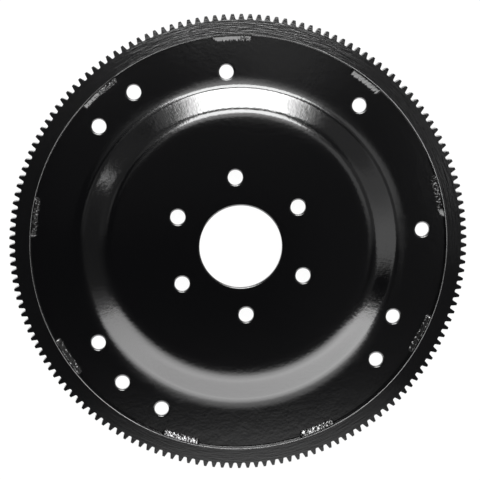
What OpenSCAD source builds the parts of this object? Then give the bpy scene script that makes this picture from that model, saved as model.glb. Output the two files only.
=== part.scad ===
// Flexplate: a pressed steel disc with a starter ring gear welded round its rim.
// It lies on the ring gear's back face, with the raised hub upwards.
// The origin is on the axis, in the plane of the ring's back face.
// +Z points out of the front, and +X passes through a hole of the wide three-hole bolt circle.

/* [Ring gear] */
// Number of teeth round the ring
tooth_count = 164; // [140:1:190]
// Diameter over the tooth tips
tip_d = 361.4; // [325:0.1:400]
// Height of the ring's section, from its bore to the tooth tips
ring_height = 16.2; // [10:0.1:20]
// Width of the ring along its axis
ring_width = 9.5; // [8.5:0.1:14]
// Pressure angle of the tooth flanks, in degrees
pressure_angle = 17.5; // [14.5:0.5:25]
// Share of the pitch circle that the teeth take up
tooth_share = 0.48; // [0.42:0.01:0.5]
// Rounding of the tooth tips
tip_rounding = 0.4; // [0.2:0.05:0.6]
// Rounding in the tooth roots
root_rounding = 0.6; // [0.3:0.05:0.8]
// Turn of the first tooth from the +X axis, in degrees
first_tooth_turn = -0.35; // [-1:0.05:1]
// Chamfer on the front edge of the ring's bore
bore_chamfer = 0.5; // [0.2:0.1:1]

/* [Disc] */
// Thickness of the sheet
plate_t = 3.2; // [2:0.1:4.5]
// Depth of the flange's front face below the ring's front face
flange_sink = 4.2; // [3:0.1:5.5]
// Gap between the disc's rim and the ring's bore
rim_clearance = 0.1; // [0.05:0.05:0.3]
// Height of the hub's front face above the flange's front face
dish_height = 9.6; // [7:0.1:12]
// Width of the dished band between the flat flange and the flat hub
dish_width = 27.9; // [25:0.1:36]
// Flat left between the narrow circle's holes and the foot of the dish
foot_clearance = 0.5; // [0.2:0.1:4]
// Bend radius on the front, at the foot of the dish
foot_bend_r = 14; // [6:0.5:16]
// Bend radius on the front, at the shoulder of the dish
shoulder_bend_r = 19; // [10:0.5:24]

/* [Holes] */
// Diameter of the centre pilot bore
pilot_d = 65; // [50:0.1:80]
// Diameter of the crankshaft bolt circle
crank_circle_d = 109.2; // [102:0.1:130]
// Diameter of each crankshaft bolt hole
crank_hole_d = 11.8; // [9:0.1:14]
// Turn of the indexing hole from its even place, in degrees
index_turn = 2.2; // [1:0.1:5]
// Diameter of each converter bolt hole
converter_hole_d = 11.3; // [9:0.1:12]
// Distance of the wide three-hole bolt circle inside the disc's rim
wide_inset = 18.35; // [14:0.05:26]
// Distance of the narrow three-hole bolt circle inside the disc's rim
narrow_inset = 27.85; // [24:0.05:36]
// Distance of the four-hole bolt circle inside the disc's rim
four_inset = 19.75; // [14:0.05:26]
// Width of the rolled front edge round each hole
roll_width = 1.2; // [0.4:0.1:1.4]
// Depth of the rolled front edge round each hole
roll_depth = 0.8; // [0.3:0.1:1.2]

/* [Welds] */
// Leg of each bead along the disc's face
bead_leg = 5; // [3:0.1:6]
// Height of the ring's bore wall left bare above each bead, below the chamfer
bead_drop = 0.2; // [0.1:0.1:1]
// Gap between each bead and the ring's bore wall
bead_clearance = 0.02; // [0.01:0.01:0.1]
// Length of one ripple along a bead
ripple_pitch = 2.6; // [2:0.1:5]
// Share of a bead's legs that its ripples take up
ripple_share = 0.07; // [0:0.01:0.12]

/* [Hidden] */
$fn = 96;

// Where each bead is centred round the ring, in degrees, and how long it is: laid one by one, so uneven
bead_turns = [9, 48.1, 87.8, 127.8, 167.3, 208.2, 248.5, 288.1, 328.9];
bead_lengths = [34.5, 29.5, 32.5, 34, 32, 34, 31.5, 30.5, 33.5];
bead_stations = 44;
bead_face_steps = 5;
// A bead's ends shrink to this share of its legs, later and rounder with a higher power
bead_end_share = 0.15;
bead_end_power = 4;
// Roundness of a bead's face: 2 is a straight slope, 1 is a quarter ellipse
bead_slope_power = 1.4;
// How much a bead swells and narrows slowly along its length, as a share of its legs
bead_swell_share = 0.07;
bead_swell_waves = 1.7;
// Turns of phase that tell one bead's swell and ripples, and its two legs, from the others'
swell_shift = 0.37;
ripple_shift = 0.61;
leg_shift = 0.3;

// Levels of the main faces
flange_front_z = ring_width - flange_sink;
hub_front_z = flange_front_z + dish_height;

// Radii of the ring gear
tip_r = tip_d / 2;
ring_bore_r = tip_r - ring_height;
tooth_module = tip_d / (tooth_count + 2);
pitch_r = tip_r - tooth_module;
root_r = pitch_r - tooth_module;
base_r = pitch_r * cos(pressure_angle);
tooth_pitch = 360 / tooth_count;
flank_steps = 2;

// Radii of the disc, from its rim inwards
rim_r = ring_bore_r - rim_clearance;
wide_circle_r = rim_r - wide_inset;
narrow_circle_r = rim_r - narrow_inset;
four_circle_r = rim_r - four_inset;
flange_flat_r = narrow_circle_r - converter_hole_d / 2 - roll_width - foot_clearance;
hub_flat_r = flange_flat_r - dish_width;

// The dish is two arcs joined by a straight slope: its length and angle follow from the arcs' places
bend_sum = foot_bend_r + shoulder_bend_r;
slope_length = sqrt(dish_width * dish_width - 2 * bend_sum * dish_height + dish_height * dish_height);
slope_angle = atan2(bend_sum, slope_length) - atan2(bend_sum - dish_height, dish_width);
foot_centre = [flange_flat_r, flange_front_z + foot_bend_r];
shoulder_centre = [hub_flat_r, hub_front_z - shoulder_bend_r];
bend_steps = 10;

// Places of the holes round their circles, in degrees
crank_turns = [30, 90, 150, 210 - index_turn, 270, 330];
wide_turns = [0, 120, 240];
narrow_turns = [90, 210, 330];
four_turns = [45, 135, 225, 315];

// The cutters reach this far past the faces that they cut
overcut = 1;
// Steps in the round of a rolled edge
roll_steps = 3;

function polar(r, turn) = [r * cos(turn), r * sin(turn)];

// Involute roll, in degrees, of the flank point at radius r
function involute(r) = let (a = acos(base_r / r)) tan(a) * 180 / PI - a;

// Half the angle that a tooth takes up at radius r
function half_tooth(r) = tooth_pitch * tooth_share / 2 + involute(pitch_r) - involute(r);

// Angle that a length takes up on the circle of radius r
function arc_turn(length, r) = length / r * 180 / PI;

// Half of one tooth from root to tip, as pairs of radius and half angle:
// a root fillet, an involute flank and a tip round
function half_profile() =
    let (
        low_r = root_r + root_rounding,
        high_r = tip_r - tip_rounding,
        fillet = arc_turn(root_rounding, root_r),
        round_off = arc_turn(tip_rounding, tip_r)
    )
    concat(
        [for (a = [0, 45]) [low_r - root_rounding * cos(a), half_tooth(low_r) + fillet * (1 - sin(a))]],
        [for (k = [0 : flank_steps]) let (r = low_r + (high_r - low_r) * k / flank_steps) [r, half_tooth(r)]],
        [for (a = [45, 90]) [high_r + tip_rounding * sin(a), half_tooth(high_r) - round_off * (1 - cos(a))]]
    );

// Outline of the whole toothed ring
function gear_outline() =
    let (half = half_profile(), last = len(half) - 1)
    [
        for (i = [0 : tooth_count - 1])
        let (middle = first_tooth_turn + i * tooth_pitch)
        each concat(
            [for (k = [0 : last]) polar(half[k][0], middle - half[k][1])],
            [for (k = [last : -1 : 0]) polar(half[k][0], middle + half[k][1])]
        )
    ];

// Points along an arc of one of the sheet's bends
function bend_arc(centre, r, from, to) =
    [for (k = [0 : bend_steps]) centre + polar(r, from + (to - from) * k / bend_steps)];

// One face of the sheet from its rim to the axis, at a depth below the front:
// two flats, two bends and the slope
function disc_face(depth) = concat(
    [[rim_r, flange_front_z - depth]],
    bend_arc(foot_centre, foot_bend_r + depth, 270, 270 - slope_angle),
    bend_arc(shoulder_centre, shoulder_bend_r - depth, 90 - slope_angle, 90),
    [[0, hub_front_z - depth]]
);

// Half section of the disc: its front face out and its back face in
function disc_section() =
    let (back = disc_face(plate_t))
    concat(disc_face(0), [for (k = [len(back) - 1 : -1 : 0]) back[k]]);

// Cutter for a punched hole whose front edge, at height z, is rolled over by the punch
module punched_hole(d, z) {
    roll = [
        for (k = [0 : roll_steps - 1])
        let (a = 90 * k / roll_steps)
        [d / 2 + roll_width * (1 - cos(a)), z - roll_depth * (1 - sin(a))]
    ];
    // The last slope of the roll runs on through the face, so that the cut crosses it cleanly
    past = 2 * [d / 2 + roll_width, z] - roll[roll_steps - 1];
    low = z - plate_t - overcut;
    rotate_extrude()
    polygon(concat([[0, low], [d / 2, low]], roll, [past, [0, past[1]]]));
}

// The same hole at each of the given turns round a bolt circle
module punched_circle(circle_r, d, z, turns) {
    for (turn = turns)
    rotate(turn)
    translate([circle_r, 0, 0])
    punched_hole(d, z);
}

module flexplate_disc() {
    color([0.06, 0.06, 0.06])
    difference() {
        rotate_extrude()
        polygon(disc_section());
        punched_hole(pilot_d, hub_front_z);
        punched_circle(crank_circle_d / 2, crank_hole_d, hub_front_z, crank_turns);
        punched_circle(wide_circle_r, converter_hole_d, flange_front_z, wide_turns);
        punched_circle(narrow_circle_r, converter_hole_d, flange_front_z, narrow_turns);
        punched_circle(four_circle_r, converter_hole_d, flange_front_z, four_turns);
    }
}

// Cutter for the ring's bore, with the chamfer on its front edge
module chamfered_bore() {
    top = ring_width + overcut;
    rotate_extrude()
    polygon([
        [0, -overcut],
        [ring_bore_r, -overcut],
        [ring_bore_r, ring_width - bore_chamfer],
        [ring_bore_r + bore_chamfer + overcut, top],
        [0, top]
    ]);
}

module ring_gear() {
    color([0.13, 0.13, 0.13])
    difference() {
        linear_extrude(ring_width)
        polygon(gear_outline());
        chamfered_bore();
    }
}

// Share of the full legs at a place from 0 to 1 along bead i: round ends, a slow swell and ripples
function bead_share(i, place, phase) =
    let (
        ends = sqrt(1 - pow(abs(2 * place - 1), bead_end_power)),
        swell = bead_swell_share * sin(360 * (bead_swell_waves * place + swell_shift * i + phase)),
        ripple = ripple_share * sin(360 * (place * bead_lengths[i] / ripple_pitch + ripple_shift * i + phase))
    )
    max(bead_end_share, ends) * (1 - bead_swell_share - ripple_share + swell + ripple);

// Points of bead i across one station: the corner, then its face from the ring's wall down to the disc
function bead_station(i, place) =
    let (
        wall_r = ring_bore_r - bead_clearance,
        turn = bead_turns[i] + arc_turn(bead_lengths[i], wall_r) * (place - 0.5),
        wall_leg = (flange_sink - bore_chamfer - bead_drop) * bead_share(i, place, 0),
        plate_leg = bead_leg * bead_share(i, place, leg_shift),
        face = [
            for (k = [0 : bead_face_steps])
            let (a = 90 * k / bead_face_steps)
            [plate_leg * pow(sin(a), bead_slope_power), wall_leg * pow(cos(a), bead_slope_power)]
        ]
    )
    [
        for (p = concat([[0, 0]], face))
        let (xy = polar(wall_r - p[0], turn))
        [xy[0], xy[1], flange_front_z + p[1]]
    ];

module weld_bead(i) {
    ring = bead_face_steps + 2;
    points = [for (s = [0 : bead_stations]) each bead_station(i, s / bead_stations)];
    sides = [
        for (s = [0 : bead_stations - 1], k = [0 : ring - 1])
        let (here = s * ring + k, beside = s * ring + (k + 1) % ring)
        each [[here, beside, beside + ring], [here, beside + ring, here + ring]]
    ];
    first_end = [for (k = [ring - 1 : -1 : 0]) k];
    last_end = [for (k = [0 : ring - 1]) bead_stations * ring + k];
    color([0.35, 0.35, 0.35])
    polyhedron(points, concat(sides, [first_end, last_end]));
}

flexplate_disc();
ring_gear();
for (i = [0 : len(bead_turns) - 1]) {
    weld_bead(i);
}
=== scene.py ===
# %% [markdown]
# # A flexplate
#
# A flexplate is the thin steel wheel between a crankshaft and a torque converter. Its middle bolts to the
# crankshaft, its outer holes take the converter's bolts, and a starter motor turns it by the teeth round
# its rim. This one is a dished disc, a ring gear and nine weld beads, all painted black.
#
# The CAD model gives every place and size. This script loads it as a fixed frame, lays finer surfaces
# where the solids are, and gives them paint and light.

# %% Load the frame
import math

import bmesh
import bpy
import numpy as np
from mathutils import Matrix


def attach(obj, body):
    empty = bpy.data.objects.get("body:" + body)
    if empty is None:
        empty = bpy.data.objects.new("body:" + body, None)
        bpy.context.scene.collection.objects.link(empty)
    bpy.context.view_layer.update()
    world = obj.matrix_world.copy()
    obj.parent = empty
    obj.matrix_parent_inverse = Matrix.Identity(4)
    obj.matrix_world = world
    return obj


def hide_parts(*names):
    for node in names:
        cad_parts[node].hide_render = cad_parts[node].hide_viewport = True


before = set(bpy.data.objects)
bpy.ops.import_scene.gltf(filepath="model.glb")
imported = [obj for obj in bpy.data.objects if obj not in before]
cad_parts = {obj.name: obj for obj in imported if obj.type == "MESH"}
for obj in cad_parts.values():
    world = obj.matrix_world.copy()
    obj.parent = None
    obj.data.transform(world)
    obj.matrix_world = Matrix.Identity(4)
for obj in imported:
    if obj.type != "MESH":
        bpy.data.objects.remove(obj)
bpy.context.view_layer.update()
MM = 0.001
print("CAD nodes:", sorted(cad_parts))

# %% [markdown]
# ## Camera
#
# A camera is a place, three axes and a focal length. It could be aimed at the plate's middle by a
# constraint, but then a rule would settle its roll, and not the photograph. So its place and axes are
# written out. They come from fitting the circles of the bolt holes to the photograph: the plate is seen a
# little from above its middle and a little from its left. A camera object looks along its own -Z axis, so
# its third column points back, away from the plate.

# %% Camera at the photograph's angle
camera_place = (-0.0572, 0.14093, 1.04324)
camera_right = (0.99484, -0.07760, 0.06530)
camera_up = (0.08534, 0.98841, -0.12554)
camera_back = (-0.05480, 0.13047, 0.98994)
SENSOR_WIDTH, LENS = 36, 99.36

camera_data = bpy.data.cameras.new("plate_camera")
camera_data.sensor_width = SENSOR_WIDTH
camera_data.lens = LENS
camera = bpy.data.objects.new("plate_camera", camera_data)
camera.matrix_world = Matrix([*zip(camera_right, camera_up, camera_back, camera_place), (0, 0, 0, 1)])
bpy.context.collection.objects.link(camera)
bpy.context.scene.camera = camera
print("camera", round(camera_place[2], 3), "m above the table, lens", LENS, "mm")

# %% [markdown]
# ## From grids to a mesh
#
# Every surface here is a grid of points: rows along one parameter, columns along another. Blender's own
# tools could model the same by hand, but a formula keeps each size exact and gives the same mesh on every
# run. numpy works out all the points at once, and four neighbours make a face. Where two grids meet they
# share points, so merging those points closes the mesh, and Blender can then turn all its faces outwards.

# %% Grid helpers
MERGE = 2e-6


def mesh_of_grids(name, grids, sharp_angle):
    """One closed mesh from several grids of points, each of shape rows, columns, 3, in metres.

    Face (i, j) of a grid joins the points (i, j), (i, j+1), (i+1, j+1) and (i+1, j). Edges where the faces
    turn by more than sharp_angle degrees stay sharp, and the rest are shaded smooth.
    """
    points, faces, start = [], [], 0
    for grid in grids:
        rows, columns = grid.shape[:2]
        place = start + np.arange(rows * columns).reshape(rows, columns)
        quads = np.stack([place[:-1, :-1], place[:-1, 1:], place[1:, 1:], place[1:, :-1]], axis=-1)
        points.append(grid.reshape(-1, 3))
        faces.append(quads.reshape(-1, 4))
        start += rows * columns
    mesh = bpy.data.meshes.new(name)
    mesh.from_pydata(np.concatenate(points).tolist(), [], np.concatenate(faces).tolist())
    shell = bmesh.new()
    shell.from_mesh(mesh)
    bmesh.ops.remove_doubles(shell, verts=shell.verts, dist=MERGE)
    bmesh.ops.recalc_face_normals(shell, faces=shell.faces)
    open_edges = sum(not edge.is_manifold for edge in shell.edges)
    shell.to_mesh(mesh)
    shell.free()
    mesh.shade_smooth()
    mesh.set_sharp_from_angle(angle=math.radians(sharp_angle))
    piece = bpy.data.objects.new(name, mesh)
    bpy.context.collection.objects.link(piece)
    print(name, len(mesh.polygons), "faces,", open_edges, "open edges")
    return piece


def polar(radius, turn, height):
    """Points at a radius from the axis, a turn in degrees from +X and a height, all in mm, as metres."""
    radius, turn, height = np.broadcast_arrays(radius, np.radians(turn), height)
    return np.stack([radius * np.cos(turn), radius * np.sin(turn), height], axis=-1) * MM


def spun(radii, heights, turns):
    """A profile of radii and heights carried round the axis: rows along the profile, columns round it."""
    return polar(np.asarray(radii)[:, None], np.asarray(turns)[None, :], np.asarray(heights)[:, None])


def aims(points):
    """Unit vectors from the origin towards points in the plane: the cosine and sine of each turn."""
    turn = np.arctan2(points[:, 1], points[:, 0])
    return np.stack([np.cos(turn), np.sin(turn)], axis=-1)


print("points closer than", MERGE / MM, "mm become one")

# %% [markdown]
# ## The disc
#
# The disc is one sheet of steel, pressed so that its hub stands proud of its flange, with seventeen
# punched holes. A spun profile with its holes cut by booleans would be quicker, but booleans leave long
# thin triangles, and gloss paint shows each of them as a crease. So most of the disc is a profile spun
# round the axis, in far finer steps than the solid needs. Round each hole, a patch of the grid is swapped
# for rays that run from the hole's edge out to the patch's outline, so the hole is truly round and still
# meets its neighbours.

# %% Sizes of the disc, in mm
RING_WIDTH, RING_BORE_R = 9.5, 164.5
FLANGE_Z, HUB_Z, SHEET = 5.3, 14.9, 3.2
RIM_R, FLANGE_INNER_R = 164.4, 129.2
PILOT_R, CRANK_HOLE_R, CONVERTER_HOLE_R = 32.5, 5.9, 5.65
CRANK_CIRCLE_R, WIDE_CIRCLE_R, NARROW_CIRCLE_R, FOUR_CIRCLE_R = 54.6, 146.05, 136.55, 144.65
CRANK_FIRST, CRANK_STEP = 30, 60
ROLL_WIDTH, ROLL_DEPTH = 1.2, 0.8
CORNER_FILL, KEEP_FLAT = 0.25, 0.1

crank_turns = [30, 90, 150, 207.8, 270, 330]
converter_holes = sorted(
    [(turn, WIDE_CIRCLE_R) for turn in (0, 120, 240)]
    + [(turn, NARROW_CIRCLE_R) for turn in (90, 210, 330)]
    + [(turn, FOUR_CIRCLE_R) for turn in (45, 135, 225, 315)]
)
print(len(crank_turns), "crankshaft holes and", len(converter_holes), "converter holes")

# %% The dish's profile
TURN_STEP, PROFILE_POINTS = 0.75, 1421
all_turns = np.arange(0, 360 + TURN_STEP / 2, TURN_STEP)

# Each pair is a radius in mm and the front face's tilt there in degrees.
dish_tilts = np.array([
    (94, 0), (96, 0.4), (98, 0.9), (99, 1.3), (100, 1.8), (101, 2.6), (102, 3.9), (103, 6.1), (104, 8.7),
    (105, 11.4), (106, 14.2), (107, 17.2), (108, 20.0), (109, 21.9), (110, 23.0), (111.5, 24.5), (113, 25),
    (120.5, 25), (122, 24.4), (122.7, 23.9), (123.3, 23.2), (124.2, 18), (125.2, 13.9), (126, 11.3),
    (127, 7.7), (128, 4.9), (129, 3.5), (131, 2.2), (132.5, 1.2), (134.5, 0),
])
hub_flat_r = dish_tilts[0, 0]
fine_r = np.linspace(hub_flat_r, dish_tilts[-1, 0], PROFILE_POINTS)
fine_tilt = np.radians(np.interp(fine_r, *dish_tilts.T))
drops = np.tan(fine_tilt)
fallen = np.concatenate([[0], np.cumsum((drops[1:] + drops[:-1]) / 2)])
fine_z = HUB_Z - (HUB_Z - FLANGE_Z) * fallen / fallen[-1]


def dish_profile(radii, depth):
    """Radii and heights across the dish at a depth below its front face.

    Sheet steel bends with no sudden start, so the front is given by its tilt at each radius. The height is
    the sum of the tilt's tangents, scaled to the dish's rise, and the back lies SHEET away from it along
    the normal.
    """
    tilt = np.where(radii < FLANGE_INNER_R, np.interp(radii, fine_r, fine_tilt), 0)
    return radii - depth * np.sin(tilt), np.interp(radii, fine_r, fine_z) - depth * np.cos(tilt)


def lifted(grid):
    """A flange grid raised by the last soft part of the dish's foot, which reaches out among the holes."""
    lift = np.interp(np.hypot(grid[..., 0], grid[..., 1]) / MM, fine_r, fine_z) - FLANGE_Z
    return grid + np.stack([np.zeros_like(lift), np.zeros_like(lift), lift * MM], axis=-1)


print("steepest tilt of the dish:", round(math.degrees(fine_tilt.max()), 2), "degrees")

# %% Edges of the holes
quarter = np.radians(np.linspace(90, 0, 7))


def rolled_edge(hole_r, face_z):
    """Radii and heights down a punched hole: a quarter of an ellipse into the bore, then its wall."""
    radii = hole_r + ROLL_WIDTH * (1 - np.cos(quarter))
    heights = face_z - ROLL_DEPTH * (1 - np.sin(quarter))
    back = face_z - SHEET
    return np.append(radii, [hole_r, hole_r]), np.append(heights, [(heights[-1] + back) / 2, back])


print("each hole's edge rolls in over", ROLL_WIDTH, "mm and down by", ROLL_DEPTH, "mm")

# %% One sector of a flat, plain or with a hole
RAY_SHARES = np.array([0, 0.03, 0.12, 0.3, 0.6, 0.985, 1])
TURN_SLACK = 0.01


def turns_between(low, high):
    """The columns' turns from low to high, with both ends."""
    return all_turns[(all_turns > low - TURN_SLACK) & (all_turns < high + TURN_SLACK)]


def plain_sector(radii, turn_low, turn_high, face_z):
    """A flat piece of a ring between two turns: the front face and the back face below it."""
    turns = turns_between(turn_low, turn_high)
    return [spun(radii, np.full(len(radii), z), turns) for z in (face_z, face_z - SHEET)]


def holed_sector(radii, turn_low, turn_high, face_z, hole_r, circle_r, hole_turn):
    """A flat piece of a ring with one hole, as one grid over the front, down the bore and under the back.

    The columns are rays from the hole's middle to the points of the sector's outline. Going along a ray,
    the rows are shares of the way from the outline in to the rolled edge, then the hole's profile, then
    shares of the way out again.
    """
    turns = turns_between(turn_low, turn_high)
    low, high = radii[0], radii[-1]
    outline_r = np.concatenate([np.full(len(turns) - 1, low), radii[:-1],
                                np.full(len(turns) - 1, high), radii[:0:-1], [low]])
    outline_turn = np.concatenate([turns[:-1], np.full(len(radii) - 1, turns[-1]),
                                   turns[:0:-1], np.full(len(radii) - 1, turns[0]), [turns[0]]])
    outline = polar(outline_r, outline_turn, 0)[:, :2] / MM
    middle = polar(circle_r, hole_turn, 0)[:2] / MM
    aim = aims(outline - middle)
    wall_r, wall_z = rolled_edge(hole_r, face_z)
    over = middle + aim * wall_r[0] + (outline - middle - aim * wall_r[0]) * RAY_SHARES[::-1, None, None]
    down = middle + aim * wall_r[:, None, None]
    under = middle + aim * wall_r[-1] + (outline - middle - aim * wall_r[-1]) * RAY_SHARES[:, None, None]
    flat = np.concatenate([over, down, under])
    face, back = np.full(len(RAY_SHARES), face_z), np.full(len(RAY_SHARES), face_z - SHEET)
    heights = np.concatenate([face, wall_z, back])
    tall = np.broadcast_to(heights[:, None, None], flat.shape[:2] + (1,))
    return np.concatenate([flat, tall], axis=-1) * MM


print(len(all_turns) - 1, "columns round the plate,", len(RAY_SHARES), "points along each ray")

# %% A flat ring from its sectors
FLANGE_CELL, HUB_CELL = 6.75, 15


def holed_sector_across(radii, turn_low, turn_high, face_z, hole_r, circle_r, hole_turn):
    """A holed sector that may cross +X: it is laid out half a turn away and then turned back."""
    if turn_low >= 0:
        return holed_sector(radii, turn_low, turn_high, face_z, hole_r, circle_r, hole_turn)
    return holed_sector(radii, turn_low + 180, turn_high + 180, face_z,
                        hole_r, circle_r, hole_turn + 180) * np.array([-1, -1, 1])


def split_at_start(low, high):
    """The turn is counted from 0 to 360, so a sector that crosses +X is cut in two there."""
    if low >= 360:
        return [(low - 360, high - 360)]
    return [(low, high)] if high <= 360 else [(low, 360), (0, high - 360)]


def ring_of_sectors(radii, face_z, holes, half_turn, hole_r):
    """A flat ring with holes: a holed sector round each hole and plain sectors between them.

    Each entry of holes is the middle turn of a sector, the hole's own turn and its circle's radius.
    """
    grids = []
    for k, (middle, hole_turn, circle_r) in enumerate(holes):
        after = holes[(k + 1) % len(holes)][0] + (360 if k + 1 == len(holes) else 0)
        grids.append(holed_sector_across(radii, middle - half_turn, middle + half_turn, face_z,
                                         hole_r, circle_r, hole_turn))
        for low, high in split_at_start(middle + half_turn, after - half_turn):
            grids += plain_sector(radii, low, high, face_z)
    return grids


print("a hole's sector is", 2 * FLANGE_CELL, "degrees wide in the flange and", 2 * HUB_CELL, "in the hub")

# %% Rows across the disc
SLOPE_TOP_R, SLOPE_FOOT_R = 113, 120.5

flange_radii = np.array([
    FLANGE_INNER_R, 130, 131, 132, 133.2, 134.5, 137, 140, 143, 146, 149, 152, 155, 158, 161,
    RIM_R - CORNER_FILL - KEEP_FLAT, RIM_R - CORNER_FILL,
])
hub_radii = np.concatenate([
    [PILOT_R + ROLL_WIDTH], np.linspace(34.5, 76, 13), np.linspace(80, hub_flat_r, 6),
])
front_radii = np.concatenate([
    np.linspace(FLANGE_INNER_R, SLOPE_FOOT_R, 28), [118, 115.5], np.linspace(SLOPE_TOP_R, hub_flat_r, 27),
])
back_radii = front_radii[::2]
print("rows on the flange, the slope and the hub:", len(flange_radii), len(front_radii), len(hub_radii))

# %% Build the disc
DISC_SHARP = 40

disc_grids = [
    spun(*dish_profile(front_radii, 0), all_turns),
    spun(*dish_profile(back_radii, SHEET), all_turns),
]
flange_holes = [(turn, turn, circle_r) for turn, circle_r in converter_holes]
flange_grids = ring_of_sectors(flange_radii, FLANGE_Z, flange_holes, FLANGE_CELL, CONVERTER_HOLE_R)
disc_grids += [lifted(grid) for grid in flange_grids]
hub_holes = [(CRANK_FIRST + CRANK_STEP * k, turn, CRANK_CIRCLE_R) for k, turn in enumerate(crank_turns)]
disc_grids += ring_of_sectors(hub_radii, HUB_Z, hub_holes, HUB_CELL, CRANK_HOLE_R)

pilot_r, pilot_z = rolled_edge(PILOT_R, HUB_Z)
pilot_r, pilot_z = np.append(pilot_r, PILOT_R + ROLL_WIDTH), np.append(pilot_z, HUB_Z - SHEET)
disc_grids.append(spun(pilot_r, pilot_z, all_turns))

# Paint fills the corner under the ring, so the rim ends in a small hollow round, then its wall.
rim_r = np.append(RIM_R - CORNER_FILL * (1 - np.cos(quarter)), [RIM_R, RIM_R - CORNER_FILL])
rim_z = np.append(FLANGE_Z + CORNER_FILL * (1 - np.sin(quarter)), [FLANGE_Z - SHEET] * 2)
disc_grids.append(spun(rim_r, rim_z, all_turns))

disc = mesh_of_grids("disc_surface", disc_grids, DISC_SHARP)
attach(disc, "root")
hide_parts("flexplate_disc")

# %% [markdown]
# ## The ring gear
#
# The ring is cut from a steel hoop with 164 straight teeth of involute form, the curve that a string
# draws as it is unwound from a drum. One tooth repeated by an array would do for a plain gear, but the
# edges here are broken, and a broken edge needs its neighbours. So one outline of all the teeth is
# carried over the ring: up the outside with its edges broken, across the front face to the bore, down the
# bore and back across the rear. A broken edge is the outline moved inwards a little, along its own
# normals.

# %% Tooth outline
TEETH, TIP_R = 164, 180.7
TOOTH_SHARE, PRESSURE_ANGLE = 0.48, 17.5
TIP_ROUND, ROOT_ROUND = 0.3, 0.9
FIRST_TOOTH = -0.35
FLANK_STEPS, ROUND_STEPS = 4, 3

tooth_module = 2 * TIP_R / (TEETH + 2)
pitch_r = TIP_R - tooth_module
root_r = pitch_r - tooth_module
base_r = pitch_r * math.cos(math.radians(PRESSURE_ANGLE))
tooth_pitch = 360 / TEETH


def half_tooth(radius):
    """Half the angle of a tooth at a radius, in degrees.

    The roll of an involute is tan(a) - a, with cos(a) = base radius / radius. A tooth narrows outwards by
    what the roll has grown since the pitch circle.
    """
    def roll(r):
        a = np.arccos(base_r / r)
        return np.degrees(np.tan(a) - a)
    return tooth_pitch * TOOTH_SHARE / 2 + roll(pitch_r) - roll(radius)


def tooth_outline():
    """Radii and turns all round the teeth: root fillet, involute, tip round, then the same mirrored."""
    low, high = root_r + ROOT_ROUND, TIP_R - TIP_ROUND
    fillet = np.radians(np.linspace(0, 90, ROUND_STEPS + 1))[:-1]
    flank = np.linspace(low, high, FLANK_STEPS + 1)
    tip = np.radians(np.linspace(0, 90, ROUND_STEPS + 1))[1:]
    radii = np.concatenate([low - ROOT_ROUND * np.cos(fillet), flank, high + TIP_ROUND * np.sin(tip)])
    half = np.concatenate([
        half_tooth(low) + np.degrees(ROOT_ROUND / root_r) * (1 - np.sin(fillet)),
        half_tooth(flank),
        half_tooth(high) - np.degrees(TIP_ROUND / TIP_R) * (1 - np.cos(tip)),
    ])
    middles = FIRST_TOOTH + tooth_pitch * np.arange(TEETH)
    turns = middles[:, None] + np.concatenate([-half, half[::-1]])[None, :]
    return np.tile(np.concatenate([radii, radii[::-1]]), TEETH), turns.ravel()


teeth_r, teeth_turn = tooth_outline()
print("tooth module", round(tooth_module, 3), "mm,", len(teeth_r), "points round the outline")

# %% Build the ring
EDGE_BREAK, BORE_BREAK, WEAR_AND_HIGHLIGHT_WIDTH = 0.2, 0.25, 0.75
UNDER_ROOT = 0.5
RING_SHARP = 50
edge_bend = np.radians([90, 60, 30, 0])
bore_bend = np.radians([90, 65, 45, 25, 0])
front_rows_r = (root_r - UNDER_ROOT, 172.5, 169, 166.2, RING_BORE_R + WEAR_AND_HIGHLIGHT_WIDTH)
back_rows_r = (RING_BORE_R, 168, root_r - UNDER_ROOT)


def moved_in(outline, distance):
    """The closed outline moved inwards along each point's normal.

    The normal is the tangent turned by 90 degrees, and the tangent runs from the point before to the next.
    """
    tangent = np.roll(outline, -1, axis=0) - np.roll(outline, 1, axis=0)
    normal = np.stack([tangent[:, 1], -tangent[:, 0]], axis=-1)
    return outline - distance * normal / np.linalg.norm(normal, axis=-1, keepdims=True)


def ring_rows():
    """Rows of the ring's grid, each a closed line: outside edges, front face, bore and back face.

    An edge broken by b goes through b(1 - cos) inwards and b(1 - sin) down from the face. A row just inside
    it keeps the smooth shading of the edge from spreading over the flat face.
    """
    outline = polar(teeth_r, teeth_turn, 0)[:, :2] / MM
    inset, rise = EDGE_BREAK * (1 - np.cos(edge_bend)), EDGE_BREAK * (1 - np.sin(edge_bend))
    rows = [(moved_in(outline, d), z) for d, z in zip(inset, rise)]
    rows += [(moved_in(outline, d), RING_WIDTH - z) for d, z in zip(inset[::-1], rise[::-1])]
    rows.append((moved_in(outline, EDGE_BREAK + KEEP_FLAT), RING_WIDTH))
    aim = aims(rows[-1][0])
    rows += [(aim * r, RING_WIDTH) for r in front_rows_r]
    bore_r = RING_BORE_R + BORE_BREAK * (1 - np.cos(bore_bend))
    bore_z = RING_WIDTH - BORE_BREAK * (1 - np.sin(bore_bend))
    rows += [(aim * r, z) for r, z in zip(bore_r, bore_z)]
    rows += [(aim * r, 0) for r in back_rows_r]
    rows.append(rows[0])
    return rows


ring_grid = np.stack([np.column_stack([xy, np.full(len(xy), z)]) for xy, z in ring_rows()]) * MM
ring_grid = np.concatenate([ring_grid, ring_grid[:, :1]], axis=1)
ring = mesh_of_grids("ring_surface", [ring_grid], RING_SHARP)
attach(ring, "root")
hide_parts("ring_gear")

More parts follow.
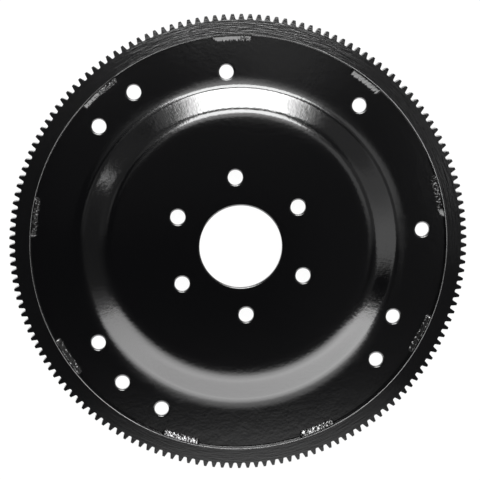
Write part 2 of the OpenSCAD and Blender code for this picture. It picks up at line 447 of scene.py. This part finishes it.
# %% [markdown]
# ## The weld beads
#
# Nine short beads of weld metal hold the ring to the disc, in the corner under the ring's bore. A bead
# freezes lumpy and ragged as the torch moves on, and no two come out alike. A tube with a displacing
# texture could stand in for it, but its lumps would look the same all over. So each bead is a section
# carried along the corner and closed at both ends. The section is given by its tilt, which settles how
# the face catches the light. Seeded lumps stand on the face, and seeded waves move its toe. Each bead has
# its own length, size and roughness.

# %% Sizes of the beads
# For each bead: its turn round the ring in degrees, its length in mm, its size as a share of the section,
# the height of its lumps in mm, how calm the middle of its face is, and how far its toe waves in mm.
bead_turns = [9, 48.1, 87.8, 127.8, 167.3, 208.2, 248.5, 288.1, 328.9]
bead_lengths = [34.5, 29.5, 32.5, 34, 32, 34, 31.5, 30.5, 33.5]
bead_sizes = [0.95, 1, 0.88, 0.82, 0.86, 0.95, 1, 1, 0.88]
bead_lumps = [0.22, 0.06, 0.3, 0.32, 0.26, 0.42, 0.2, 0.32, 0.42]
bead_calms = [0, 0, 0, 0, 0.5, 0.85, 0, 0, 0.88]
bead_waves = [0.1, 0.13, 0.16, 0.1, 0.14, 0.06, 0.06, 0.1, 0.06]

# For single beads: lean in degrees by share of the length, length of the two tails in mm, smooth stretch.
bead_leans = {3: [(0, -24), (0.38, -18), (0.55, 0)], 6: [(0, 9)], 7: [(0, 6)]}
bead_tails = {0: (10, 2.4), 2: (2.4, 8)}
bead_smooth = {0: (0, 0.28), 2: (0.3, 1), 3: (0.5, 1)}
UPRIGHT, SHORT_TAILS, NOWHERE = [(0, 0)], (2.4, 2.4), (2, 3)
print(len(bead_turns), "beads,", sum(bead_lengths), "mm of weld in all")

# %% A bead's section
WALL_GAP = 0.02
STATIONS, FACE_STEPS = 190, 30

# Each pair is a distance along the face from the wall, in mm, and the tilt there in degrees.
bead_tilts = np.array([
    (0, -30), (0.4, -8), (0.8, 10), (1.4, 22), (2.5, 26), (4.8, 30), (5.4, 48), (5.9, 70), (6.3, 85),
])


def bead_section(lean):
    """Places in from the wall, heights over the plate and tilts across a bead.

    A bead stands a little proud in the corner: it rises from the wall, leans in towards the hub and drops
    at its toe. Its tilt is given along its face, with each station's lean in degrees added, and the places
    and heights are the sums of the tilt's cosines and sines.
    """
    along = np.linspace(0, bead_tilts[-1, 0], FACE_STEPS + 1)
    tilt = np.radians(np.interp(along, *bead_tilts.T) + lean)
    middle = (tilt[:, 1:] + tilt[:, :-1]) / 2
    start = np.zeros_like(lean)
    out = np.concatenate([start, np.cumsum(np.cos(middle), axis=1)], axis=1) * along[1]
    fall = np.concatenate([start, np.cumsum(np.sin(middle), axis=1)], axis=1) * along[1]
    return along, out, fall[:, -1:] - fall, tilt


plain_section = bead_section(np.zeros((1, 1)))
print("a bead's reach and height in mm:", [plain_section[k].max().round(2) for k in (1, 2)])

# %% Lumps and waves of a bead
LUMPS, LUMP_R, LUMP_HEIGHT = 260, (0.35, 0.8), (-0.8, 1)
EDGE_WAVES, WAVE_PITCH = 14, (1.2, 5)
IRONED = 0.2
CALM_MIDDLE, CALM_WIDTH = 0.42, 0.24


def bead_grid(number):
    """A bead as a closed grid: rows along the corner, columns round its section.

    Its width and height close at each end as the square root of 1 - (1 - d / tail)^2, with d the distance
    from the end. Seeded lumps, exp of minus the squared distance from each lump's middle over its size,
    stand along the face's normal, less so in the middle of a calm bead, and seeded waves move its toe.
    """
    chance = np.random.default_rng(number)
    length = bead_lengths[number]
    s = np.linspace(0, 1, STATIONS + 1)[:, None]
    lean = np.interp(s, *np.array(bead_leans.get(number, UPRIGHT)).T)
    along, out, rise, tilt = bead_section(lean)
    out, rise = bead_sizes[number] * out, bead_sizes[number] * rise
    across = along / along[-1]
    first, last = bead_tails.get(number, SHORT_TAILS)
    from_end = np.minimum(np.minimum(s * length / first, (1 - s) * length / last), 1)
    ends = np.sqrt(1 - (1 - from_end) ** 2)

    least, most = [0, 0, LUMP_R[0], LUMP_HEIGHT[0]], [1, 1, LUMP_R[1], LUMP_HEIGHT[1]]
    at_s, at_face, size, height = chance.uniform(least, most, (LUMPS, 4)).T
    apart = np.hypot((s[..., None] - at_s) * length, along[:, None] - at_face * along[-1]) / size
    low, high = bead_smooth.get(number, NOWHERE)
    ironed = np.where((s > low) & (s < high), IRONED, 1)
    lump = bead_lumps[number] * ironed * (height * np.exp(-apart ** 2)).sum(axis=-1)
    calm = 1 - bead_calms[number] * np.exp(-((across - CALM_MIDDLE) / CALM_WIDTH) ** 2)
    lump = lump * np.sin(np.pi * across) ** 0.5 * ends * calm

    pitch, shift = chance.uniform([WAVE_PITCH[0], 0], [WAVE_PITCH[1], 1], (EDGE_WAVES, 2)).T
    swing = np.sin(2 * np.pi * (s * length / pitch + shift)).sum(axis=-1, keepdims=True)
    toe = across ** 3 * (bead_waves[number] * swing)
    plate_leg = np.maximum((out + toe) * ends + lump * np.sin(tilt), 0)
    wall_leg = np.maximum(rise * ends + lump * np.cos(tilt), 0)
    corner = np.zeros_like(s)
    plate_leg = np.concatenate([corner, plate_leg, corner], axis=1)
    wall_leg = np.concatenate([corner, wall_leg, corner], axis=1)
    wall_r = RING_BORE_R - WALL_GAP
    turn = bead_turns[number] + np.degrees(length / wall_r) * (s - 0.5)
    return polar(wall_r - plate_leg, turn, FLANGE_Z + wall_leg)


print(LUMPS, "lumps on each bead, up to", LUMP_R[1], "mm in radius")

# %% Build the beads
BEAD_SHARP = 75

beads = []
for number in range(len(bead_turns)):
    bead = mesh_of_grids(f"weld_surface_{number + 1}", [bead_grid(number)], BEAD_SHARP)
    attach(bead, "root")
    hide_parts(f"weld_bead_{number + 1}")
    beads.append(bead)

# %% [markdown]
# ## Paint
#
# Black gloss paint is almost all reflection: its colour sends back a thousandth of the light or less, and
# its smooth top sends back about four hundredths, more at a slant. What the eye sees on it is the room,
# and every unevenness of the paint bends that picture. Such unevenness could be in the mesh, but it is
# far finer than any grid, so noise textures drive it as bump. They take their place from Object
# coordinates, which are metres on the part, so each ripple has a true size. Marks that follow the axis
# take theirs from the direction and the radius instead.

# %% Paint and bump helpers


def new_paint(name, colour, roughness, specular):
    """A material with one Principled shader, its fixed numbers set on the shader's own sockets."""
    material = bpy.data.materials.new(name)
    material.use_nodes = True
    nodes, links = material.node_tree.nodes, material.node_tree.links
    shader = nodes["Principled BSDF"]
    shader.inputs["Base Color"].default_value = (*colour, 1)
    shader.inputs["Roughness"].default_value = roughness
    shader.inputs["Specular IOR Level"].default_value = specular
    return material, nodes, links, shader


def noise_bump(nodes, links, vector, size, detail, strength, distance, before=None):
    """A bump node driven by noise with lumps of about the given size in metres, laid over another bump."""
    noise = nodes.new("ShaderNodeTexNoise")
    noise.inputs["Scale"].default_value = 1 / size
    noise.inputs["Detail"].default_value = detail
    links.new(vector, noise.inputs["Vector"])
    bump = nodes.new("ShaderNodeBump")
    bump.inputs["Strength"].default_value = strength
    bump.inputs["Distance"].default_value = distance
    links.new(noise.outputs["Fac"], bump.inputs["Height"])
    if before:
        links.new(before.outputs["Normal"], bump.inputs["Normal"])
    return bump


def mapped(nodes, links, value, low, high, to_low, to_high):
    """A value carried smoothly from one range to another, and held at its ends."""
    ranged = nodes.new("ShaderNodeMapRange")
    ranged.interpolation_type = "SMOOTHSTEP"
    for name, number in (("From Min", low), ("From Max", high), ("To Min", to_low), ("To Max", to_high)):
        ranged.inputs[name].default_value = number
    links.new(value, ranged.inputs["Value"])
    return ranged.outputs["Result"]


print("helpers:", new_paint.__name__, noise_bump.__name__, mapped.__name__)

# %% Marks that follow the axis


def round_place(nodes, links, place, turn_scale, radius_scale):
    """A place among marks that follow the axis: the direction from it and the radius, each to a scale.

    The direction is x and y over the radius, so the marks close all round with no seam. The radius itself
    comes second.
    """
    flat = nodes.new("ShaderNodeVectorMath")
    flat.operation = "MULTIPLY"
    flat.inputs[1].default_value = (1, 1, 0)
    links.new(place, flat.inputs[0])
    radius = nodes.new("ShaderNodeVectorMath")
    radius.operation = "LENGTH"
    links.new(flat.outputs["Vector"], radius.inputs[0])
    way = nodes.new("ShaderNodeVectorMath")
    way.operation = "NORMALIZE"
    links.new(flat.outputs["Vector"], way.inputs[0])
    run = nodes.new("ShaderNodeVectorMath")
    run.operation = "SCALE"
    run.inputs["Scale"].default_value = turn_scale
    links.new(way.outputs["Vector"], run.inputs[0])
    depth = nodes.new("ShaderNodeMath")
    depth.operation = "MULTIPLY"
    depth.inputs[1].default_value = radius_scale
    links.new(radius.outputs["Value"], depth.inputs[0])
    rise = nodes.new("ShaderNodeCombineXYZ")
    links.new(depth.outputs["Value"], rise.inputs["Z"])
    both = nodes.new("ShaderNodeVectorMath")
    links.new(run.outputs["Vector"], both.inputs[0])
    links.new(rise.outputs["Vector"], both.inputs[1])
    return both.outputs["Vector"], radius.outputs["Value"]


print("helper:", round_place.__name__)

# %% [markdown]
# ### Gloss black on the disc
#
# Three bumps lie over each other on the disc. The sheet itself is faintly wavy, with waves about a
# centimetre long. The sprayed paint dries with a fine ripple called orange peel, which is calmer on the
# flange. On the slope, where the press drew the steel over its edge, fine marks run down it, and they
# fade out above and below. One noise could stand for all three, but each shows at its own size along the
# edges of the highlights.

# %% Gloss black paint on the disc
WAVE_SIZE, WAVE_DEPTH = 0.01, 0.00004
PEEL_SIZE, PEEL_DEPTH, FLANGE_PEEL = 0.0024, 0.00005, 0.4
DRAW_PITCH, DRAW_LENGTH, DRAW_DEPTH = 0.0008, 0.006, 0.00003
DRAW_R = (0.103, 0.109, 0.124, 0.130)

disc_paint, nodes, links, shader = new_paint(
    "disc_gloss_black", colour=(0.0003, 0.0003, 0.0004), roughness=0.12, specular=0.5)
place = nodes.new("ShaderNodeTexCoord").outputs["Object"]
waves = noise_bump(nodes, links, place, WAVE_SIZE, detail=2, strength=1, distance=WAVE_DEPTH)
peel = noise_bump(nodes, links, place, PEEL_SIZE, detail=2, strength=1, distance=PEEL_DEPTH, before=waves)
marks, radius = round_place(nodes, links, place, DRAW_R[2] / DRAW_PITCH, 1 / DRAW_LENGTH)
drawn = noise_bump(nodes, links, marks, 1, detail=2, strength=1, distance=DRAW_DEPTH, before=peel)
share = nodes.new("ShaderNodeMath")
share.operation = "MULTIPLY"
links.new(mapped(nodes, links, radius, DRAW_R[0], DRAW_R[1], 0, 1), share.inputs[0])
links.new(mapped(nodes, links, radius, DRAW_R[2], DRAW_R[3], 1, 0), share.inputs[1])
links.new(share.outputs["Value"], drawn.inputs["Strength"])
links.new(mapped(nodes, links, radius, DRAW_R[2], DRAW_R[3], 1, FLANGE_PEEL), peel.inputs["Strength"])
links.new(drawn.outputs["Normal"], shader.inputs["Normal"])
disc.data.materials.append(disc_paint)
print("painted", disc.name)

# %% [markdown]
# ### The worn and painted bright line on the ring
#
# Paint runs thin over a sharp edge and is soon rubbed off it, so a fine line of steel shows round the
# bore's front edge. Its grey is also a painted highlight of the edge catching the light, so it is stronger
# in some places round the ring than in others. A bevel node could find the edges, but it would find those
# of the teeth too, where no such line shows. So the share of this grey is worked out for each point of the
# mesh and kept there as an attribute, which the paint then reads.

# %% Where the ring's edge is worn and painted bright
COVERED_TURN, COVERED_HALF = 87.8, 5.3

# Radii in mm, from the bore outwards, and the share of the worn-steel and painted-highlight grey at each.
WEAR_AND_HIGHLIGHT_R = RING_BORE_R + np.array([0, 0.07, BORE_BREAK, WEAR_AND_HIGHLIGHT_WIDTH])
WEAR_AND_HIGHLIGHT_SHARE = (0, 0.45, 1, 0)

# Each pair is a turn round the ring in degrees and how strong the worn and painted-highlight line is there.
wear_and_highlight_turns = np.array([
    (0, 0.45), (22, 0.7), (60, 0.5), (75, 0.37), (100, 0.09), (125, 0.08), (145, 0.4), (180, 0.23),
    (200, 0.35), (225, 0.9), (235, 1), (243, 0.5), (270, 0.45), (285, 0.4), (300, 0.9), (315, 0.65),
    (345, 0.33), (360, 0.45),
])


def edge_wear_and_highlight(mesh):
    """How much of the grey each point of the ring gets, partly worn steel and partly a painted highlight: 1
    at the bore's front edge, 0 away from it.

    The share runs up to the edge and down again with the radius, on the front only. Its strength changes
    round the ring with the wear and the painted highlight, and one weld bead covers the edge.
    """
    place = np.empty(3 * len(mesh.vertices))
    mesh.vertices.foreach_get("co", place)
    x, y, z = place.reshape(-1, 3).T / MM
    turn = np.degrees(np.arctan2(y, x)) % 360
    wear_and_highlight_strength = np.interp(turn, *wear_and_highlight_turns.T) * (np.abs(turn - COVERED_TURN) > COVERED_HALF)
    return np.interp(np.hypot(x, y), WEAR_AND_HIGHLIGHT_R, WEAR_AND_HIGHLIGHT_SHARE) * wear_and_highlight_strength * (z > RING_WIDTH - BORE_BREAK)


ring_wear_and_highlight = edge_wear_and_highlight(ring.data)
ring.data.attributes.new("wear_and_highlight_share", "FLOAT", "POINT").data.foreach_set("value", ring_wear_and_highlight)
print("thin paint on", int((ring_wear_and_highlight > 0).sum()), "points of the ring")

# %% [markdown]
# ### Satin black on the ring
#
# The ring was turned on a lathe before its teeth were cut, and the tool's fine grooves still show through
# the thin paint. Each groove is a circle, so the noise is drawn out along the turn and tight along the
# radius, and the shine is stretched across the grooves. They are deepest at the top of the ring, where
# they break its light into streaks. Rings modelled one by one would be far too many faces for grooves so
# shallow.

# %% Satin black paint on the ring
TURNING_PITCH, TURNING_RUN, TURNING_DEPTH = 0.001, 15, (0.00003, 0.00022)
TURNING_Y, ROUGH_Y = (-0.12, 0.15), (-0.1, 0.15)
RING_ROUGH = (0.09, 0.15)
GRAIN_SIZE, GRAIN_DEPTH = 0.0012, 0.00003
GROOVE_STRETCH, QUARTER_TURN = 0.8, 0.25
# The grey of the bore's edge line: partly worn steel, partly a painted highlight.
WORN_STEEL_AND_HIGHLIGHT = (0.17, 0.17, 0.17, 1)

ring_paint, nodes, links, shader = new_paint(
    "ring_satin_black", colour=(0.001, 0.001, 0.0011), roughness=RING_ROUGH[0], specular=0.5)
shader.inputs["Anisotropic"].default_value = GROOVE_STRETCH
shader.inputs["Anisotropic Rotation"].default_value = QUARTER_TURN
round_axis = nodes.new("ShaderNodeTangent")
round_axis.direction_type, round_axis.axis = "RADIAL", "Z"
links.new(round_axis.outputs["Tangent"], shader.inputs["Tangent"])
place = nodes.new("ShaderNodeTexCoord").outputs["Object"]
marks, radius = round_place(nodes, links, place, TURNING_RUN, 1 / TURNING_PITCH)
grain = noise_bump(nodes, links, place, GRAIN_SIZE, detail=2, strength=0.4, distance=GRAIN_DEPTH)
turning = noise_bump(nodes, links, marks, 1, detail=3, strength=1, distance=TURNING_DEPTH[1], before=grain)
across = nodes.new("ShaderNodeSeparateXYZ")
links.new(place, across.inputs["Vector"])
groove_depth = mapped(nodes, links, across.outputs["Y"], *TURNING_Y, *TURNING_DEPTH)
links.new(groove_depth, turning.inputs["Distance"])
rough = mapped(nodes, links, across.outputs["Y"], *ROUGH_Y, *RING_ROUGH)
links.new(rough, shader.inputs["Roughness"])
links.new(turning.outputs["Normal"], shader.inputs["Normal"])
# Painted highlight: this mixes a grey into the black at the bore's front edge, partly worn steel and partly
# the edge's highlight painted in.
bright = nodes.new("ShaderNodeAttribute")
bright.attribute_name = "wear_and_highlight_share"
edge_colour = nodes.new("ShaderNodeMix")
edge_colour.data_type = "RGBA"
edge_colour.inputs["A"].default_value = shader.inputs["Base Color"].default_value
edge_colour.inputs["B"].default_value = WORN_STEEL_AND_HIGHLIGHT
links.new(bright.outputs["Fac"], edge_colour.inputs["Factor"])
links.new(edge_colour.outputs["Result"], shader.inputs["Base Color"])
ring.data.materials.append(ring_paint)
print("painted", ring.name)

# %% [markdown]
# ### Black over the weld metal
#
# The same paint lies over the welds, where the scale left by the torch roughens it. The big lumps are in
# the mesh, because they change the bead's outline, so only this fine scale is left to a bump.

# %% Black paint on the beads
SCALE_SIZE, SCALE_DEPTH = 0.0009, 0.00003

weld_paint, nodes, links, shader = new_paint(
    "weld_black", colour=(0.001, 0.001, 0.001), roughness=0.05, specular=0.5)
place = nodes.new("ShaderNodeTexCoord").outputs["Object"]
scale = noise_bump(nodes, links, place, SCALE_SIZE, detail=2, strength=0.5, distance=SCALE_DEPTH)
links.new(scale.outputs["Normal"], shader.inputs["Normal"])
for bead in beads:
    bead.data.materials.append(weld_paint)
print("painted", len(beads), "beads")

# %% [markdown]
# ## Light
#
# The plate lies on a white light table, which makes its holes as white as the ground round it. A white
# floor could be lit from above instead, but it would need so much light that the black paint would turn
# grey. So the table gives off the light itself.

# %% Light table
TABLE_HALF, TABLE_Z, TABLE_GLOW = 15, -0.0002, 0.98

table_corners = TABLE_HALF * np.array([(-1, -1), (1, -1), (1, 1), (-1, 1)])
table_mesh = bpy.data.meshes.new("light_table")
table_mesh.from_pydata([(x, y, TABLE_Z) for x, y in table_corners.tolist()], [], [(0, 1, 2, 3)])
table = bpy.data.objects.new("light_table", table_mesh)
bpy.context.collection.objects.link(table)
table_white, nodes, links, shader = new_paint(
    "table_white", colour=(0.02, 0.02, 0.02), roughness=1, specular=0)
shader.inputs["Emission Color"].default_value = (1, 1, 1, 1)
shader.inputs["Emission Strength"].default_value = TABLE_GLOW
table_mesh.materials.append(table_white)
print("light table", 2 * TABLE_HALF, "m wide")

# %% [markdown]
# ### Ceiling panels
#
# The paint is a dark mirror, so each light is placed by where its reflection lies on the dish. The dish's
# tilt at the edge of a highlight gives the direction of the light's edge, so a panel in the ceiling is
# given by the slopes x/z and y/z at which a place on the plate sees its edges. The large window's light
# fades at both ends, so it is a row of narrow panels in steps. A ray goes on through a panel, so where
# two overlap their light adds up. Of two at one height it would meet only one, so each has its own.

# %% Panels
CEILING, PANEL_STEP = 3.0, 0.0005


def panel(step, name, slopes_x, slopes_y, radiance, seen_from):
    """A ceiling panel of an even radiance between two slopes in x and two in y.

    A slope times the ceiling's height is the way sideways from the place on the plate that the panel is
    seen from. A panel sends out pi times its radiance and its area.
    """
    low = CEILING * np.array([slopes_x[0], slopes_y[0]]) + seen_from
    high = CEILING * np.array([slopes_x[1], slopes_y[1]]) + seen_from
    light = bpy.data.lights.new(name, "AREA")
    light.shape = "RECTANGLE"
    light.size, light.size_y = high - low
    light.energy = radiance * math.pi * light.size * light.size_y
    lamp = bpy.data.objects.new(name, light)
    lamp.location = (*((low + high) / 2), CEILING + PANEL_STEP * step)
    lamp.visible_camera = False
    bpy.context.collection.objects.link(lamp)


top, right, left, middle = (0, 0.115), (0.115, 0), (-0.1, 0.06), (0, 0)
WINDOW_Y = (0.87, 2.0)
window_edges = [-0.44, -0.39, -0.35, -0.315, -0.28, -0.25, -0.215, -0.165,
                0.6, 0.65, 0.685, 0.72, 0.755, 0.79, 0.82, 0.855, 0.9, 0.96]
window_glows = [1.3, 3.6, 6.8, 11.2, 15.8, 20, 23, 34, 23, 20, 16, 12, 9.4, 5.8, 3.1, 1.2, 0.3]
panels = [
    (f"main_window_{k + 1}", window_edges[k:k + 2], WINDOW_Y, glow, top)
    for k, glow in enumerate(window_glows)
]
panels += [
    ("main_fringe", (-0.6, 1.0), (0.87, 1.5), 0.9, top),
    ("strip_window", (-0.18, 0.43), (0.355, 0.665), 22, top),
    ("strip_right_end", (0.43, 0.6), (0.34, 0.75), 1.0, top),
    ("strip_core", (0.02, 0.1), (0.09, 0.2), 1.3, top),
    ("strip_end", (-0.3, -0.18), (0.34, 0.75), 1.0, top),
    ("strip_fringe", (-0.5, -0.18), (0.3, 0.75), 0.4, top),
    ("strip_side", (-0.17, -0.05), (0.05, 0.34), 0.3, top),
    ("strip_far_side", (-0.3, -0.05), (0, 0.34), 0.2, top),
    ("right_glow", (0.25, 1.0), (-0.18, 0.35), 0.36, right),
    ("near_glow", (0.28, 0.53), (-0.14, 0.2), 0.7, top),
    ("flange_glow", (0.073, 0.153), (-0.025, 0.018), 0.4, top),
    ("hub_glow", (-0.14, 0.12), (-0.1, 0.05), 0.055, middle),
    ("hub_side_glow", (0.12, 0.5), (-0.3, 0.1), 0.05, middle),
    ("left_glow", (-1.2, -0.45), (-0.05, 0.9), 0.17, left),
    ("left_line", (-0.66, -0.5), (0.03, 0.25), 0.28, left),
    ("low_end", (-1.53, -1.2), (-0.78, -0.62), 0.75, middle),
]
for step, row in enumerate(panels, start=1):
    panel(step, *row)
print("panels:", len(panels))

# %% [markdown]
# ### Graded sheets
#
# The broad glow on the lower half of the dish fades across the slope, and so do the glows at its right
# and under the strip. An area light is even all over, and many small ones in steps would show as bands in
# a glow so broad. So each is a sheet in the ceiling whose material gives off light through a ramp of
# stops. A sheet stops a ray, so the sheets hang above all the panels and hide none of them.

# %% Ramps of light


def set_stops(ramp, stops):
    """Fill a colour ramp with stops of place and radiance, as shares of their span and of the most.

    The most is returned.
    """
    first, last = stops[0][0], stops[-1][0]
    most = max(radiance for at, radiance in stops)
    while len(ramp.color_ramp.elements) < len(stops):
        ramp.color_ramp.elements.new(1)
    for element, (at, radiance) in zip(ramp.color_ramp.elements, stops):
        element.position = (at - first) / (last - first)
        element.color = (radiance / most,) * 3 + (1,)
    return most


def ramp_along(nodes, links, place, start, scale, stops):
    """A ramp laid along one coordinate, each stop at start + scale * slope: its colour and its most."""
    slope = nodes.new("ShaderNodeMapRange")
    slope.inputs["From Min"].default_value = start + scale * stops[0][0]
    slope.inputs["From Max"].default_value = start + scale * stops[-1][0]
    links.new(place, slope.inputs["Value"])
    ramp = nodes.new("ShaderNodeValToRGB")
    most = set_stops(ramp, stops)
    links.new(slope.outputs["Result"], ramp.inputs["Fac"])
    return ramp.outputs["Color"], most


print("helpers:", set_stops.__name__, ramp_along.__name__)

# %% A graded sheet
SHEET_OVER = 0.03


def graded_sheet(name, outline, stops, towards, seen_y, sides):
    """A ceiling sheet whose light changes with distance: it runs through stops of slope and radiance.

    Its outline is given by slopes in x and y, the stops by slopes towards +Y or -Y, and the sides by slopes
    in x with the share of the light there. The two ramps are multiplied.
    """
    mesh = bpy.data.meshes.new(name)
    mesh.from_pydata([(CEILING * x, CEILING * y + seen_y, CEILING + SHEET_OVER) for x, y in outline],
                     [], [list(range(len(outline)))])
    sheet = bpy.data.objects.new(name, mesh)
    sheet.visible_camera = False
    bpy.context.collection.objects.link(sheet)
    material = bpy.data.materials.new(name)
    material.use_nodes = True
    nodes, links = material.node_tree.nodes, material.node_tree.links
    nodes.remove(nodes["Principled BSDF"])
    place = nodes.new("ShaderNodeSeparateXYZ")
    links.new(nodes.new("ShaderNodeTexCoord").outputs["Object"], place.inputs["Vector"])
    away, most = ramp_along(nodes, links, place.outputs["Y"], seen_y, towards * CEILING, stops)
    side, side_most = ramp_along(nodes, links, place.outputs["X"], 0, CEILING, sides)
    both = nodes.new("ShaderNodeVectorMath")
    both.operation = "MULTIPLY"
    links.new(away, both.inputs[0])
    links.new(side, both.inputs[1])
    glow = nodes.new("ShaderNodeEmission")
    glow.inputs["Strength"].default_value = most * side_most
    links.new(both.outputs["Vector"], glow.inputs["Color"])
    links.new(glow.outputs["Emission"], nodes["Material Output"].inputs["Surface"])
    mesh.materials.append(material)
    print(name, "up to a radiance of", round(most * side_most, 2))


EVEN_SIDES = [(-1, 1), (1, 1)]
TOWARDS_TOP, TOWARDS_FOOT = 1, -1

# %% The broad glow low on the dish
LOW_OUTLINE = [
    (-0.1, -0.275), (0.2, -0.275), (0.98, -0.845), (2.1, -1.4), (1.67, -1.99), (0.89, -2.44), (0, -2.6),
    (-0.89, -2.44), (-1.67, -1.99), (-2.24, -1.21), (-1.335, -0.775), (-1.2, -0.69), (-0.75, -0.49),
    (-0.58, -0.42), (-0.44, -0.395),
]
LOW_STOPS = [
    (0.275, 0), (0.305, 0.6), (0.34, 1.7), (0.4, 2.6), (0.46, 3.2), (0.53, 4.6), (0.58, 5.4), (0.67, 5.9),
    (0.9, 7.1), (1.2, 7.9), (1.42, 8), (1.65, 7), (2.1, 6.6), (4, 6.6),
]
LOW_SIDES = [(-1.35, 0.79), (-0.6, 0.97), (1.0, 1.12), (1.55, 1.06)]
graded_sheet("low_panel", LOW_OUTLINE, LOW_STOPS, TOWARDS_FOOT, -top[1], LOW_SIDES)

# %% The glow under the strip
STRIP_OUTLINE = [
    (0.06, -0.08), (0.2, -0.08), (0.25, 0.1), (0.33, 0.24), (0.45, 0.36), (-0.2, 0.36), (-0.06, 0.13),
    (0.01, 0.06),
]
STRIP_STOPS = [
    (-0.08, 0), (-0.02, 0.06), (0.02, 0.13), (0.05, 0.55), (0.1, 1.8), (0.15, 2.8), (0.2, 3.4), (0.3, 4.6),
    (0.36, 5),
]
graded_sheet("strip_glow", STRIP_OUTLINE, STRIP_STOPS, TOWARDS_TOP, top[1], EVEN_SIDES)

# %% The glow at the right and the patch at the left
RIGHT_OUTLINE = [
    (1.0, -0.27), (1.25, -0.39), (1.45, -0.56), (1.5, -0.62), (1.5, -1.05), (2.1, -1.35), (2.1, 1.25),
    (1.0, 1.25),
]
RIGHT_STOPS = [
    (-1.6, 0), (-0.72, 0), (-0.67, 0.2), (-0.62, 1.4), (-0.52, 1.6), (-0.2, 1.65), (-0.05, 1.35),
    (0.05, 1.1), (0.12, 0.98), (0.2, 0.86), (0.38, 0.88), (0.44, 0.6), (0.52, 0.42), (0.8, 0.42),
    (1.25, 0.35),
]
PATCH_OUTLINE = [(-1.085, 0.575), (-1.11, 0.51), (-1.152, 0.484), (-1.185, 0.498), (-1.133, 0.603)]
PATCH_STOPS = [(0.4, 12), (0.7, 12)]
graded_sheet("right_panel", RIGHT_OUTLINE, RIGHT_STOPS, TOWARDS_TOP, 0, EVEN_SIDES)
graded_sheet("left_patch", PATCH_OUTLINE, PATCH_STOPS, TOWARDS_TOP, 0, EVEN_SIDES)

# %% [markdown]
# ### Room
#
# What is left of the room is dim: walls that are a little lighter at their foot, and a dark ceiling. One
# even grey would be simpler, but seen from low down the paint mirrors the walls strongly and would look
# grey. So the world's light runs through a ramp on the height of the ray. Only the camera itself sees
# white, as beyond the table's end.

# %% Room
ROOM_STOPS = [(0, 0.5), (0.2, 0.35), (0.34, 0.3), (0.45, 0.3), (0.64, 0.15), (0.85, 0.06), (1, 0.03)]

room = bpy.data.worlds.new("room")
room.use_nodes = True
nodes, links = room.node_tree.nodes, room.node_tree.links
height = nodes.new("ShaderNodeSeparateXYZ")
links.new(nodes.new("ShaderNodeTexCoord").outputs["Generated"], height.inputs["Vector"])
walls = nodes.new("ShaderNodeValToRGB")
links.new(height.outputs["Z"], walls.inputs["Fac"])
dim = nodes["Background"]
links.new(walls.outputs["Color"], dim.inputs["Color"])
dim.inputs["Strength"].default_value = set_stops(walls, ROOM_STOPS)
backdrop = nodes.new("ShaderNodeBackground")
backdrop.inputs["Color"].default_value = (1, 1, 1, 1)
path = nodes.new("ShaderNodeLightPath")
choose = nodes.new("ShaderNodeMixShader")
links.new(path.outputs["Is Camera Ray"], choose.inputs["Fac"])
links.new(dim.outputs["Background"], choose.inputs[1])
links.new(backdrop.outputs["Background"], choose.inputs[2])
links.new(choose.outputs["Shader"], nodes["World Output"].inputs["Surface"])
bpy.context.scene.world = room
bpy.context.scene.view_settings.view_transform = "Standard"
print("room from", ROOM_STOPS[-1][1], "overhead to", ROOM_STOPS[0][1], "at the walls' foot")
